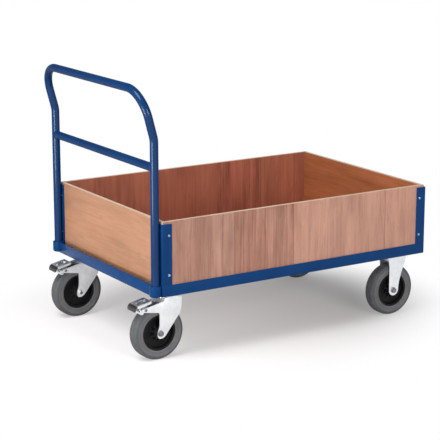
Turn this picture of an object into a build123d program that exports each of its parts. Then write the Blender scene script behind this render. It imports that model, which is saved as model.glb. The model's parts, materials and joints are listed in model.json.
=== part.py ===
"""Four-sided panel trolley: a welded angle-steel frame with a tubular push bar, low plywood walls
and a plywood deck, on two fixed and two braked swivel castors.

Millimetres, +Z up, the floor at z = 0. The push bar is at the -X end and the sides are at -Y
(right) and +Y (left). The origin is on the floor below the middle of the overall box.
"""

import os
from math import cos, radians, sin, tan

from build123d import *

os.makedirs("parts", exist_ok=True)

# base frame
frame_length = 1190.0
frame_width = 800.0
angle_leg = 40.0
angle_t = 5.0

# corner posts, walls and deck
post_leg = 40.0
post_round = 2.0
post_setback = 23.0
post_drop = 8.0
panel_t = 15.0
panel_h = 264.0
panel_gap = 0.5
panel_chamfer = 1.0
deck_t = 18.0
deck_gap = 1.0
deck_round = 3.0

# push bar, with its heights above the underside of the frame
tube_d = 30.0
tube_wall = 2.0
tube_gap = 0.5
tube_inset_y = 23.0
knee_rise = 558.0
bar_rise = 730.0
cross_tube_rise = 460.0
lean = 15.0
knee_r = 90.0
bend_r = 100.0
socket_wall = 4.0
socket_floor = 4.0
socket_fit = 0.05

# wall screws, with their heights above the underside of the frame
screw_d = 6.0
screw_head_d = 10.0
screw_head_h = 3.4
screw_head_taper = 20.0
screw_from_corner = 28.0
screw_rises = (77.0, 220.0)
screw_bite = 11.0

# castor beams, middle rails, castor bolts and deck screws
beam_margin_x = 10.0
beam_margin_y = 9.0
rail_spacing = 300.0
rail_width = 50.0
rail_drop = 9.0
rail_wall = 3.0
bolt_d = 8.0
bolt_head_d = 15.0
bolt_head_h = 3.8
bolt_head_taper = 43.0
nut_flats = 13.0
nut_h = 6.5
bolt_proud = 2.0
deck_screw_d = 5.0
deck_screw_cover = 6.0
deck_screw_head_d = 10.0
deck_screw_head_h = 2.5
beam_screw_pitch = 180.0
rail_screw_pitch = 360.0

# castor plates and wheels
castor_headroom = 50.0
hole_length = 116.0
hole_width = 78.0
plate_margin_x = 17.0
plate_margin_y = 16.0
plate_t = 4.0
plate_round = 12.0
fixed_lead = 10.0
trail = 61.0
fork_t = 3.0
wheel_d = 200.0
wheel_w = 46.0
wheel_side_gap = 5.0
tyre_t = 34.0
tyre_shoulder_r = 13.0
tyre_seat_r = 3.0
rim_inset = 3.0
rim_lip = 8.0
web_t = 9.0
rib_count = 10
rib_t = 4.0
rib_recess = 4.0
hub_wall = 12.0
hub_side_gap = 0.8
bush_wall = 4.0
bush_side_gap = 0.3
axle_d = 12.0
axle_clear = 0.05
axle_hole_clear = 0.1
axle_head_flats = 18.0
axle_head_h = 7.5
axle_nut_h = 10.0
axle_proud = 3.0

# fixed fork leg seen from the side, measured from the axle: forward, up
leg_tip_r = 21.0
leg_front = ((25.0, 28.0), (40.0, 78.0), (52.0, 104.0), (57.0, 126.0))
leg_back = ((-29.0, 132.0), (-22.0, 104.0))
leg_top_back = -31.0

# swivel head
race_d = 88.0
race_h = 9.0
crown_t = 4.0
crown_length = 82.0
crown_back = 14.0
crown_head_h = 4.0
head_gap = 3.0
ball_d = 7.0
ball_ring_d = 68.0
ball_count = 14
ball_clear = 0.3
king_d = 14.0
king_head_d = 26.0
king_head_h = 4.5
king_gap = 0.3
king_clear = 0.05

# swivel fork cheek seen from the side: its tip and back edge from the axle, its front edge from
# the swivel axis, and the arm that carries the pedal from the pedal pin
cheek_tip = ((12.0, -14.5), (-1.0, -20.0), (-12.5, -6.0))
cheek_back = (-4.0, 26.0)
cheek_front = ((26.0, 96.0), (21.0, 68.0))
cheek_top_back = 37.0
arm_below_tyre = 23.0
arm_tip = ((-13.0, -7.0), (-17.0, -2.0), (-14.0, 4.0))
arm_top = (73.0, 22.0)

# brake pedal, with its side outlines measured from the pin: forward, up
shoe_d = 17.0
shoe_gap = 5.0
shoe_bearing = 130.0
shoe_spot = (-14.0, -8.0)
pin_d = 6.0
pin_head_d = 10.8
pin_head_h = 3.0
pin_head_gap = 0.5
pin_clear = 0.05
pedal_t = 3.0
pedal_overhang = 1.0
shoe_side_gap = 1.0
strut_spread = 36.0
skirt_h = 8.0
tread_line = ((24.0, 28.5), (-32.0, 16.5), (-39.0, 9.5), (-42.0, -3.0))
tread_bend_r = 5.0
strut_line = ((16.0, 26.7), (-6.0, 22.0), (-25.0, -9.0), (-14.0, -16.0), (5.0, -8.0), (8.0, 0.0))
slot_spot = (-5.0, 22.3)
slot_length = 42.0
slot_width = 22.0

# heights derived from the sizes above
wheel_r = wheel_d / 2
frame_bottom = wheel_d + castor_headroom
ledge_z = frame_bottom + angle_t
panel_top = ledge_z + panel_h
post_top = panel_top - post_drop
knee_z = frame_bottom + knee_rise
bar_z = frame_bottom + bar_rise
cross_tube_z = frame_bottom + cross_tube_rise
screw_heights = [frame_bottom + rise for rise in screw_rises]
plate_bottom = frame_bottom - plate_t
race_bottom = plate_bottom - race_h
crown_top = race_bottom - head_gap
crown_z = crown_top - crown_head_h
crown_bottom = crown_z - crown_t

# places along the trolley, with the overall box centred on the origin
bar_back = tan(radians(lean)) * (bar_z - knee_z)
tube_inset_x = post_setback - tube_gap - tube_d / 2
tail_reach = bar_back + tube_d / 2 - tube_inset_x
rear_x = -(frame_length + tail_reach + screw_head_h) / 2 + tail_reach
front_x = rear_x + frame_length
rear_post_x = rear_x + post_setback
tube_x = rear_x + tube_inset_x
bar_x = tube_x - bar_back
rear_wall_x = rear_post_x + angle_t
front_wall_x = front_x - angle_t
ledge_from = rear_x + angle_leg
ledge_to = front_x - angle_leg
beam_length = hole_length + 2 * beam_margin_x
swivel_x = ledge_from + beam_length / 2
fixed_x = ledge_to - beam_length / 2

# places across the trolley
side_y = frame_width / 2
wall_y = side_y - angle_t
ledge_y = side_y - angle_leg
tube_y = side_y - tube_inset_y
castor_y = ledge_y - beam_margin_y - hole_width / 2

# castor sizes that follow from the wheel, the axle and the bolt holes
socket_d = tube_d + 2 * socket_wall
plate_length = hole_length + 2 * plate_margin_x
plate_width = hole_width + 2 * plate_margin_y
fork_gap = wheel_w + 2 * wheel_side_gap
cheek_in = fork_gap / 2
cheek_out = cheek_in + fork_t
rim_d = wheel_d - 2 * tyre_t
rim_w = wheel_w - 2 * rim_inset
bush_d = axle_d + 2 * bush_wall
hub_d = bush_d + 2 * hub_wall
hub_w = fork_gap - 2 * hub_side_gap
shoe_reach = wheel_r + shoe_gap + shoe_d / 2
pin_back = -shoe_reach * cos(radians(shoe_bearing)) + shoe_spot[0]
pin_up = shoe_reach * sin(radians(shoe_bearing)) - shoe_spot[1]


def save(builder, label):
    """Names a finished piece and writes its file."""
    builder.part.label = label
    export_step(builder.part, f"parts/{label}.step")


def corner_post(label, x, y, inward_x, inward_y, coped):
    """Angle-steel post with its outer corner at x, y, drilled for the wall screws.

    Its foot is notched over the side rail, and a coped post is cut away round its push bar socket.
    """
    with BuildPart() as post:
        with BuildSketch(Plane.XY.offset(frame_bottom)):
            with BuildLine():
                Polyline(
                    (x, y),
                    (x + inward_x * post_leg, y),
                    (x + inward_x * post_leg, y + inward_y * angle_t),
                    (x + inward_x * angle_t, y + inward_y * angle_t),
                    (x + inward_x * angle_t, y + inward_y * post_leg),
                    (x, y + inward_y * post_leg),
                    close=True,
                )
            make_face()
        extrude(amount=post_top - frame_bottom)
        uprights = post.edges().filter_by(Axis.Z)
        fillet(uprights.sort_by_distance((x, y, post_top))[0], post_round)
        with Locations((x + inward_x * post_leg / 2, y + inward_y * angle_t / 2, frame_bottom)):
            Box(
                post_leg,
                angle_t,
                angle_leg,
                align=(Align.CENTER, Align.CENTER, Align.MIN),
                mode=Mode.SUBTRACT,
            )
        for z in screw_heights:
            with Locations((x + inward_x * screw_from_corner, y, z)):
                Cylinder(screw_d / 2, 3 * angle_t, rotation=(90, 0, 0), mode=Mode.SUBTRACT)
            with Locations((x, y + inward_y * screw_from_corner, z)):
                Cylinder(screw_d / 2, 3 * angle_t, rotation=(0, 90, 0), mode=Mode.SUBTRACT)
        if coped:
            with Locations((tube_x, y + inward_y * tube_inset_y, frame_bottom)):
                Cylinder(
                    socket_d / 2,
                    angle_leg,
                    align=(Align.CENTER, Align.CENTER, Align.MIN),
                    mode=Mode.SUBTRACT,
                )
    save(post, label)


for side, y_sign in (("right", -1), ("left", 1)):
    corner_post(f"post_rear_{side}", rear_post_x, y_sign * side_y, 1, -y_sign, True)
    corner_post(f"post_front_{side}", front_x, y_sign * side_y, -1, -y_sign, False)

# side rails: the upright leg runs through below the posts, the ledge between the end rails
for side, y_sign in (("right", -1), ("left", 1)):
    with BuildPart() as side_rail:
        with Locations(((rear_post_x + front_x) / 2, y_sign * (side_y - angle_t / 2), frame_bottom)):
            Box(
                front_x - rear_post_x,
                angle_t,
                angle_leg,
                align=(Align.CENTER, Align.CENTER, Align.MIN),
            )
        for x in (rear_post_x, front_x):
            uprights = side_rail.edges().filter_by(Axis.Z)
            fillet(uprights.sort_by_distance((x, y_sign * side_y, frame_bottom))[0], post_round)
        ledge_mid_y = side_y - (angle_t + angle_leg) / 2
        with Locations(((ledge_from + ledge_to) / 2, y_sign * ledge_mid_y, frame_bottom)):
            Box(
                ledge_to - ledge_from,
                angle_leg - angle_t,
                angle_t,
                align=(Align.CENTER, Align.CENTER, Align.MIN),
            )
    save(side_rail, f"side_rail_{side}")

# front end rail between the front posts
with BuildPart() as front_rail:
    with Locations((front_x - angle_t / 2, 0, frame_bottom)):
        Box(
            angle_t,
            frame_width - 2 * post_leg,
            angle_leg,
            align=(Align.CENTER, Align.CENTER, Align.MIN),
        )
    with Locations((front_x - (angle_t + angle_leg) / 2, 0, frame_bottom)):
        Box(
            angle_leg - angle_t,
            2 * wall_y,
            angle_t,
            align=(Align.CENTER, Align.CENTER, Align.MIN),
        )
save(front_rail, "end_rail_front")

# rear end rail, coped round the push bar sockets and let in behind the posts
with BuildPart() as rear_rail:
    with Locations((rear_x + angle_t / 2, 0, frame_bottom)):
        Box(
            angle_t,
            2 * tube_y,
            angle_leg,
            align=(Align.CENTER, Align.CENTER, Align.MIN),
        )
    with Locations((rear_x + (angle_t + angle_leg) / 2, 0, frame_bottom)):
        Box(
            angle_leg - angle_t,
            frame_width - 2 * post_leg,
            angle_t,
            align=(Align.CENTER, Align.CENTER, Align.MIN),
        )
    with Locations(((rear_wall_x + ledge_from) / 2, 0, frame_bottom)):
        Box(
            ledge_from - rear_wall_x,
            2 * wall_y,
            angle_t,
            align=(Align.CENTER, Align.CENTER, Align.MIN),
        )
    for y in (-tube_y, tube_y):
        with Locations((tube_x, y, frame_bottom)):
            Cylinder(
                socket_d / 2,
                angle_leg,
                align=(Align.CENTER, Align.CENTER, Align.MIN),
                mode=Mode.SUBTRACT,
            )
save(rear_rail, "end_rail_rear")

# cup-shaped sockets for the feet of the push bar
for side, y_sign in (("right", -1), ("left", 1)):
    with BuildPart() as socket:
        with Locations((tube_x, y_sign * tube_y, frame_bottom)):
            Cylinder(socket_d / 2, angle_leg, align=(Align.CENTER, Align.CENTER, Align.MIN))
        with Locations((tube_x, y_sign * tube_y, frame_bottom + socket_floor)):
            Cylinder(
                tube_d / 2 + socket_fit,
                angle_leg,
                align=(Align.CENTER, Align.CENTER, Align.MIN),
                mode=Mode.SUBTRACT,
            )
    save(socket, f"push_bar_socket_{side}")

# push bar: two legs with a backward knee and a top bar with wide bends
half_lean = radians(lean) / 2
knee_tangent = knee_r * tan(half_lean)
lean_x = -sin(radians(lean))
lean_z = cos(radians(lean))
half_bend = bend_r * (1 - cos(radians(45)))


def leg_points(y_sign):
    """Points of one leg from the foot to the end of its top bend."""
    y = y_sign * tube_y
    foot = (tube_x, y, frame_bottom + socket_floor)
    knee_from = (tube_x, y, knee_z - knee_tangent)
    knee_mid = (tube_x - knee_r * (1 - cos(half_lean)), y, knee_z - knee_tangent + knee_r * sin(half_lean))
    knee_to = (tube_x + lean_x * knee_tangent, y, knee_z + lean_z * knee_tangent)
    bend_from = (bar_x - lean_x * bend_r, y, bar_z - lean_z * bend_r)
    bend_mid = (bar_x - lean_x * half_bend, y - y_sign * half_bend, bar_z - lean_z * half_bend)
    bend_to = (bar_x, y - y_sign * bend_r, bar_z)
    return foot, knee_from, knee_mid, knee_to, bend_from, bend_mid, bend_to


with BuildPart() as push_bar:
    with BuildLine():
        right_points = leg_points(-1)
        left_points = leg_points(1)
        for points in (right_points, left_points):
            Line(points[0], points[1])
            ThreePointArc(points[1], points[2], points[3])
            Line(points[3], points[4])
            ThreePointArc(points[4], points[5], points[6])
        Line(right_points[6], left_points[6])
    with BuildSketch(Plane(origin=right_points[0])):
        Circle(tube_d / 2)
        Circle(tube_d / 2 - tube_wall, mode=Mode.SUBTRACT)
    sweep()
save(push_bar, "push_bar")

with BuildPart() as cross_tube:
    with BuildSketch(Plane.XZ.offset(-tube_y)):
        with Locations((tube_x, cross_tube_z)):
            Circle(tube_d / 2)
            Circle(tube_d / 2 - tube_wall, mode=Mode.SUBTRACT)
    extrude(amount=2 * tube_y)
    with Locations((tube_x, tube_y, cross_tube_z), (tube_x, -tube_y, cross_tube_z)):
        Cylinder(tube_d / 2, 2 * tube_d, mode=Mode.SUBTRACT)
save(cross_tube, "push_bar_cross_tube")

# castor beams: flat plates between the side ledges that carry the castors
for end, x in (("rear", swivel_x), ("front", fixed_x)):
    with BuildPart() as beam:
        with Locations((x, 0, frame_bottom)):
            Box(
                beam_length,
                2 * ledge_y,
                angle_t,
                align=(Align.CENTER, Align.CENTER, Align.MIN),
            )
        for y in (-castor_y, castor_y):
            with BuildSketch(Plane.XY.offset(ledge_z)):
                with Locations((x, y)):
                    with GridLocations(hole_length, hole_width, 2, 2):
                        Circle(bolt_head_d / 2)
            extrude(amount=-bolt_head_h, taper=bolt_head_taper, mode=Mode.SUBTRACT)
            with BuildSketch(Plane.XY.offset(ledge_z)):
                with Locations((x, y)):
                    with GridLocations(hole_length, hole_width, 2, 2):
                        Circle(bolt_d / 2)
            extrude(amount=-angle_t, mode=Mode.SUBTRACT)
        with BuildSketch(Plane.XY.offset(frame_bottom)):
            with Locations((x, 0)):
                with GridLocations(hole_length, beam_screw_pitch, 2, 2):
                    Circle(deck_screw_d / 2)
        extrude(amount=angle_t, mode=Mode.SUBTRACT)
    save(beam, f"castor_beam_{end}")

# middle rails: shallow channels, open below, under the deck
middle_x = (rear_x + front_x) / 2
rail_xs = (middle_x - rail_spacing / 2, middle_x + rail_spacing / 2)
for number, x in enumerate(rail_xs, start=1):
    with BuildPart() as rail:
        with BuildSketch(Plane.XZ.offset(-ledge_y)):
            with BuildLine():
                Polyline(
                    (x - rail_width / 2, ledge_z),
                    (x + rail_width / 2, ledge_z),
                    (x + rail_width / 2, frame_bottom - rail_drop),
                    (x + rail_width / 2 - rail_wall, frame_bottom - rail_drop),
                    (x + rail_width / 2 - rail_wall, ledge_z - rail_wall),
                    (x - rail_width / 2 + rail_wall, ledge_z - rail_wall),
                    (x - rail_width / 2 + rail_wall, frame_bottom - rail_drop),
                    (x - rail_width / 2, frame_bottom - rail_drop),
                    close=True,
                )
            make_face()
        extrude(amount=2 * ledge_y)
        with BuildSketch(Plane.XY.offset(ledge_z - rail_wall)):
            with Locations((x, 0)):
                with GridLocations(rail_width, rail_screw_pitch, 1, 2):
                    Circle(deck_screw_d / 2)
        extrude(amount=rail_wall, mode=Mode.SUBTRACT)
    save(rail, f"middle_rail_{number}")

# walls and deck
for side, y_sign in (("right", -1), ("left", 1)):
    with BuildPart() as wall:
        with Locations(((rear_wall_x + front_wall_x) / 2, y_sign * (wall_y - panel_t / 2), ledge_z)):
            Box(
                front_wall_x - rear_wall_x,
                panel_t,
                panel_top - ledge_z,
                align=(Align.CENTER, Align.CENTER, Align.MIN),
            )
        chamfer(wall.faces().sort_by(Axis.Z)[-1].edges(), panel_chamfer)
        for x in (rear_post_x + screw_from_corner, front_x - screw_from_corner):
            for z in screw_heights:
                with Locations((x, y_sign * (wall_y - screw_bite / 2), z)):
                    Cylinder(screw_d / 2, screw_bite, rotation=(90, 0, 0), mode=Mode.SUBTRACT)
    save(wall, f"panel_{side}")

end_wall_width = 2 * (wall_y - panel_t - panel_gap)
screw_y = side_y - screw_from_corner
for end, x_mid, hole_from, hole_to in (
    ("rear", rear_wall_x + panel_t / 2, rear_wall_x, rear_wall_x + panel_t),
    ("front", front_wall_x - panel_t / 2, front_wall_x - screw_bite, front_wall_x),
):
    with BuildPart() as wall:
        with Locations((x_mid, 0, ledge_z)):
            Box(
                panel_t,
                end_wall_width,
                panel_top - ledge_z,
                align=(Align.CENTER, Align.CENTER, Align.MIN),
            )
        chamfer(wall.faces().sort_by(Axis.Z)[-1].edges(), panel_chamfer)
        for y in (-screw_y, screw_y):
            for z in screw_heights:
                with Locations(((hole_from + hole_to) / 2, y, z)):
                    Cylinder(screw_d / 2, hole_to - hole_from, rotation=(0, 90, 0), mode=Mode.SUBTRACT)
                if end == "rear":
                    with Locations((hole_to - screw_head_h / 2, y, z)):
                        Cone(
                            screw_d / 2,
                            screw_head_d / 2,
                            screw_head_h,
                            rotation=(0, 90, 0),
                            mode=Mode.SUBTRACT,
                        )
    save(wall, f"panel_{end}")

deck_from = rear_wall_x + panel_t + deck_gap
deck_to = front_wall_x - panel_t - deck_gap
deck_width = 2 * (wall_y - panel_t - deck_gap)
deck_bite = deck_t - deck_screw_cover
rail_screw_spots = [(x, y) for x in rail_xs for y in (-rail_screw_pitch / 2, rail_screw_pitch / 2)]
beam_screw_spots = [
    (x + dx, y)
    for x in (swivel_x, fixed_x)
    for dx in (-hole_length / 2, hole_length / 2)
    for y in (-beam_screw_pitch / 2, beam_screw_pitch / 2)
]
with BuildPart() as deck:
    with Locations(((deck_from + deck_to) / 2, 0, ledge_z)):
        Box(
            deck_to - deck_from,
            deck_width,
            deck_t,
            align=(Align.CENTER, Align.CENTER, Align.MIN),
        )
    fillet(deck.edges().filter_by(Axis.Z), deck_round)
    with Locations(*[(x, y, ledge_z) for x, y in rail_screw_spots + beam_screw_spots]):
        Cylinder(
            deck_screw_d / 2,
            deck_bite,
            align=(Align.CENTER, Align.CENTER, Align.MIN),
            mode=Mode.SUBTRACT,
        )
save(deck, "deck_board")

# deck screws, driven from below through the beams and rails
with BuildPart() as deck_screws:
    for spots, seat_z in ((rail_screw_spots, ledge_z - rail_wall), (beam_screw_spots, frame_bottom)):
        with Locations(*[(x, y, seat_z) for x, y in spots]):
            Cylinder(
                deck_screw_d / 2,
                ledge_z + deck_bite - seat_z,
                align=(Align.CENTER, Align.CENTER, Align.MIN),
            )
            Cylinder(
                deck_screw_head_d / 2,
                deck_screw_head_h,
                align=(Align.CENTER, Align.CENTER, Align.MAX),
            )
save(deck_screws, "deck_screws")

# wall screws with low heads outside the posts: the long sides, then the front end
head_planes = [
    Plane(origin=(x, y_sign * side_y, z), z_dir=(0, y_sign, 0))
    for x in (rear_post_x + screw_from_corner, front_x - screw_from_corner)
    for y_sign in (-1, 1)
    for z in screw_heights
]
head_planes += [
    Plane(origin=(front_x, y, z), z_dir=(1, 0, 0))
    for y in (-screw_y, screw_y)
    for z in screw_heights
]
with BuildPart() as wall_screws:
    for head_plane in head_planes:
        with BuildSketch(head_plane):
            Circle(screw_head_d / 2)
        extrude(amount=screw_head_h, taper=screw_head_taper)
        with BuildSketch(head_plane):
            Circle(screw_d / 2)
        extrude(amount=-(angle_t + screw_bite))
save(wall_screws, "panel_screws")

# countersunk screws that hold the rear wall to its posts from inside
with BuildPart() as rear_wall_screws:
    for y in (-screw_y, screw_y):
        for z in screw_heights:
            with Locations((rear_wall_x + panel_t - screw_head_h / 2, y, z)):
                Cone(screw_d / 2, screw_head_d / 2, screw_head_h, rotation=(0, 90, 0))
            with Locations((rear_post_x + (angle_t + panel_t) / 2, y, z)):
                Cylinder(screw_d / 2, angle_t + panel_t, rotation=(0, 90, 0))
save(rear_wall_screws, "rear_panel_screws")

# castor bolts with flush heads, and their nuts below the castor plates
castor_spots = [(x, y) for x in (swivel_x, fixed_x) for y in (-castor_y, castor_y)]
bolt_end = plate_bottom - nut_h - bolt_proud
with BuildPart() as castor_bolts:
    for x, y in castor_spots:
        with BuildSketch(Plane.XY.offset(ledge_z)):
            with Locations((x, y)):
                with GridLocations(hole_length, hole_width, 2, 2):
                    Circle(bolt_head_d / 2)
        extrude(amount=-bolt_head_h, taper=bolt_head_taper)
        with BuildSketch(Plane.XY.offset(ledge_z)):
            with Locations((x, y)):
                with GridLocations(hole_length, hole_width, 2, 2):
                    Circle(bolt_d / 2)
        extrude(amount=bolt_end - ledge_z)
save(castor_bolts, "castor_bolts")

with BuildPart() as castor_nuts:
    for x, y in castor_spots:
        with BuildSketch(Plane.XY.offset(plate_bottom)):
            with Locations((x, y)):
                with GridLocations(hole_length, hole_width, 2, 2):
                    RegularPolygon(nut_flats / 2, 6, major_radius=False, rotation=30)
                    Circle(bolt_d / 2, mode=Mode.SUBTRACT)
        extrude(amount=-nut_h)
save(castor_nuts, "castor_nuts")


def plate_outline(x, y):
    """Outline of a castor top plate with rounded corners and its bolt holes."""
    with BuildSketch(Plane.XY.offset(plate_bottom)) as outline:
        with Locations((x, y)):
            RectangleRounded(plate_length, plate_width, plate_round)
            with GridLocations(hole_length, hole_width, 2, 2):
                Circle(bolt_d / 2, mode=Mode.SUBTRACT)
    return outline.sketch


def build_wheel(name, x, y):
    """Tyre, rim and bush of one wheel with its axle at x, y."""
    turn = Plane(origin=(x, y, wheel_r), x_dir=(0, 1, 0), z_dir=(1, 0, 0))
    spin = Axis((x, y, wheel_r), (0, 1, 0))
    with BuildPart() as tyre:
        with BuildSketch(turn) as section:
            with Locations((0, (rim_d / 2 + wheel_r) / 2)):
                Rectangle(wheel_w, wheel_r - rim_d / 2)
            fillet(section.vertices().group_by(Axis.Y)[-1], tyre_shoulder_r)
            fillet(section.vertices().group_by(Axis.Y)[0], tyre_seat_r)
        revolve(axis=spin)
    save(tyre, f"tyre_{name}")

    with BuildPart() as rim:
        with BuildSketch(turn):
            with Locations((0, rim_d / 2 - rim_lip / 2)):
                Rectangle(rim_w, rim_lip)
            with Locations((0, (bush_d + hub_d) / 4)):
                Rectangle(hub_w, (hub_d - bush_d) / 2)
            with Locations((0, (bush_d + rim_d) / 4)):
                Rectangle(web_t, (rim_d - bush_d) / 2)
        revolve(axis=spin)
        rib_from = hub_d / 2 - rib_t / 2
        rib_to = rim_d / 2 - rim_lip / 2
        with BuildSketch(Plane(origin=(x, y, wheel_r), x_dir=(1, 0, 0), z_dir=(0, 1, 0))):
            with PolarLocations((rib_from + rib_to) / 2, rib_count):
                Rectangle(rib_to - rib_from, rib_t)
        extrude(amount=rim_w / 2 - rib_recess, both=True)
    save(rim, f"rim_{name}")

    with BuildPart() as bush:
        with BuildSketch(turn):
            with Locations((0, (axle_d + 2 * axle_clear + bush_d) / 4)):
                Rectangle(fork_gap - 2 * bush_side_gap, (bush_d - axle_d - 2 * axle_clear) / 2)
        revolve(axis=spin)
    save(bush, f"wheel_bush_{name}")


def build_axle(name, x, y, outward):
    """Axle bolt with its hexagon head on the outer side, and its nut on the inner side."""
    head_plane = Plane(origin=(x, y + outward * cheek_out, wheel_r), z_dir=(0, outward, 0))
    nut_plane = Plane(origin=(x, y - outward * cheek_out, wheel_r), z_dir=(0, -outward, 0))
    with BuildPart() as axle:
        with BuildSketch(head_plane):
            RegularPolygon(axle_head_flats / 2, 6, major_radius=False)
        extrude(amount=axle_head_h)
        with BuildSketch(head_plane):
            Circle(axle_d / 2)
        extrude(amount=-(2 * cheek_out + axle_nut_h + axle_proud))
    save(axle, f"axle_{name}")

    with BuildPart() as nut:
        with BuildSketch(nut_plane):
            RegularPolygon(axle_head_flats / 2, 6, major_radius=False)
            Circle(axle_d / 2, mode=Mode.SUBTRACT)
        extrude(amount=axle_nut_h)
    save(nut, f"axle_nut_{name}")


def build_fixed_castor(name, y, outward):
    """Fixed castor: a plate with two flared legs, and its wheel."""
    x = fixed_x + fixed_lead
    leg_top = plate_bottom - wheel_r
    outline = plate_outline(fixed_x, y)
    with BuildPart() as fork:
        extrude(outline, amount=plate_t)
        for inner in (cheek_in, -cheek_out):
            with BuildSketch(Plane(origin=(x, y + inner, wheel_r), x_dir=(1, 0, 0), z_dir=(0, -1, 0))):
                with BuildLine():
                    Polyline((leg_tip_r, 0), *leg_front, (leg_front[-1][0], leg_top))
                    Line((leg_front[-1][0], leg_top), (leg_top_back, leg_top))
                    Polyline((leg_top_back, leg_top), *leg_back, (-leg_tip_r, 0))
                    ThreePointArc((-leg_tip_r, 0), (0, -leg_tip_r), (leg_tip_r, 0))
                make_face()
            extrude(amount=-fork_t)
        with Locations((x, y, wheel_r)):
            Cylinder(axle_d / 2 + axle_hole_clear, 4 * cheek_out, rotation=(90, 0, 0), mode=Mode.SUBTRACT)
    save(fork, f"fixed_fork_{name}")
    build_axle(name, x, y, outward)
    build_wheel(name, x, y)


def build_swivel_castor(name, y, outward):
    """Braked swivel castor: plate and race, king pin, balls, fork, wheel, pedal and pedal pin."""
    x = swivel_x - trail
    cheek_h = crown_z - wheel_r
    cheek_outline = [
        cheek_tip[2],
        cheek_back,
        (cheek_back[0], wheel_r - arm_below_tyre),
        *[(right - pin_back, up + pin_up) for right, up in arm_tip],
        (arm_top[0] - pin_back, arm_top[1] + pin_up),
        (trail - cheek_top_back, cheek_h),
        (trail - crown_back + crown_length / 2, cheek_h),
        *[(right + trail, up) for right, up in cheek_front],
        cheek_tip[0],
    ]
    pin_x = x - pin_back
    pin_z = wheel_r + pin_up
    outline = plate_outline(swivel_x, y)
    with BuildPart() as plate:
        extrude(outline, amount=plate_t)
        with Locations((swivel_x, y, plate_bottom)):
            Cylinder(race_d / 2, race_h, align=(Align.CENTER, Align.CENTER, Align.MAX))
        with Locations((swivel_x, y, 0)):
            Cylinder(king_d / 2, 3 * frame_bottom, mode=Mode.SUBTRACT)
        with Locations((swivel_x, y, crown_top + head_gap / 2)):
            Torus(ball_ring_d / 2, ball_d / 2 + ball_clear, mode=Mode.SUBTRACT)
    save(plate, f"swivel_plate_{name}")

    with BuildPart() as king_pin:
        with Locations((swivel_x, y, crown_bottom - king_gap)):
            Cylinder(king_head_d / 2, king_head_h, align=(Align.CENTER, Align.CENTER, Align.MAX))
        with Locations((swivel_x, y, crown_bottom - king_gap)):
            Cylinder(
                king_d / 2,
                frame_bottom - crown_bottom + king_gap,
                align=(Align.CENTER, Align.CENTER, Align.MIN),
            )
    save(king_pin, f"king_pin_{name}")

    with BuildPart() as balls:
        with Locations((swivel_x, y, crown_top + head_gap / 2)):
            with PolarLocations(ball_ring_d / 2, ball_count):
                Sphere(ball_d / 2)
    save(balls, f"swivel_balls_{name}")

    with BuildPart() as fork:
        with Locations((swivel_x, y, crown_z)):
            Cylinder(race_d / 2, crown_head_h, align=(Align.CENTER, Align.CENTER, Align.MIN))
        with Locations((swivel_x - crown_back, y, crown_bottom)):
            Box(crown_length, 2 * cheek_out, crown_t, align=(Align.CENTER, Align.CENTER, Align.MIN))
        for inner in (cheek_in, -cheek_out):
            with BuildSketch(Plane(origin=(x, y + inner, wheel_r), x_dir=(1, 0, 0), z_dir=(0, -1, 0))):
                with BuildLine():
                    Polyline(*cheek_outline)
                    ThreePointArc(*cheek_tip)
                make_face()
            extrude(amount=-fork_t)
        with Locations((x, y, wheel_r)):
            Cylinder(axle_d / 2 + axle_hole_clear, 4 * cheek_out, rotation=(90, 0, 0), mode=Mode.SUBTRACT)
        with Locations((pin_x, y, pin_z)):
            Cylinder(pin_d / 2, 4 * cheek_out, rotation=(90, 0, 0), mode=Mode.SUBTRACT)
        with Locations((swivel_x, y, crown_bottom)):
            Cylinder(king_d / 2 + king_clear, 4 * crown_head_h, mode=Mode.SUBTRACT)
        with Locations((swivel_x, y, crown_top + head_gap / 2)):
            Torus(ball_ring_d / 2, ball_d / 2, mode=Mode.SUBTRACT)
    save(fork, f"swivel_fork_{name}")

    head_y = cheek_out + pin_head_gap + pin_head_h / 2
    with BuildPart() as pin:
        with Locations((pin_x, y, pin_z)):
            Cylinder(pin_d / 2, 2 * head_y + pin_head_h, rotation=(90, 0, 0))
        with Locations((pin_x, y + head_y, pin_z), (pin_x, y - head_y, pin_z)):
            Cylinder(pin_head_d / 2, pin_head_h, rotation=(90, 0, 0))
    save(pin, f"pedal_pin_{name}")

    # pedal: a slotted tread with a turned-down tip and skirts, two struts to the pin and a brake shoe bar
    tread_front, tread_back = tread_line[:2]
    skirt_line = (
        tread_front,
        tread_back,
        (tread_back[0], tread_back[1] - skirt_h),
        (tread_front[0], tread_front[1] - skirt_h),
    )
    side_plane = Plane(origin=(pin_x, y, pin_z), x_dir=(1, 0, 0), z_dir=(0, -1, 0))
    pedal_w = fork_gap + 2 * pedal_overhang
    with BuildPart() as pedal:
        with BuildSketch(side_plane):
            with BuildLine():
                FilletPolyline(*tread_line, radius=tread_bend_r)
            trace(line_width=pedal_t)
        extrude(amount=pedal_w / 2, both=True)
        with BuildSketch(Plane(origin=(pin_x + slot_spot[0], y, pin_z + slot_spot[1]))):
            SlotOverall(slot_length, slot_width)
        extrude(amount=slot_width, both=True, mode=Mode.SUBTRACT)
        for side_line, spread in ((strut_line, strut_spread), (skirt_line, pedal_w)):
            for inner in (spread / 2 - pedal_t, -spread / 2):
                with BuildSketch(side_plane.offset(-inner)):
                    with BuildLine():
                        Polyline(*side_line, close=True)
                    make_face()
                extrude(amount=-pedal_t)
        with Locations((pin_x + shoe_spot[0], y, pin_z + shoe_spot[1])):
            Cylinder(shoe_d / 2, fork_gap - 2 * shoe_side_gap, rotation=(90, 0, 0))
        with Locations((pin_x, y, pin_z)):
            Cylinder(pin_d / 2 + pin_clear, 4 * cheek_out, rotation=(90, 0, 0), mode=Mode.SUBTRACT)
    save(pedal, f"brake_pedal_{name}")

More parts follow.
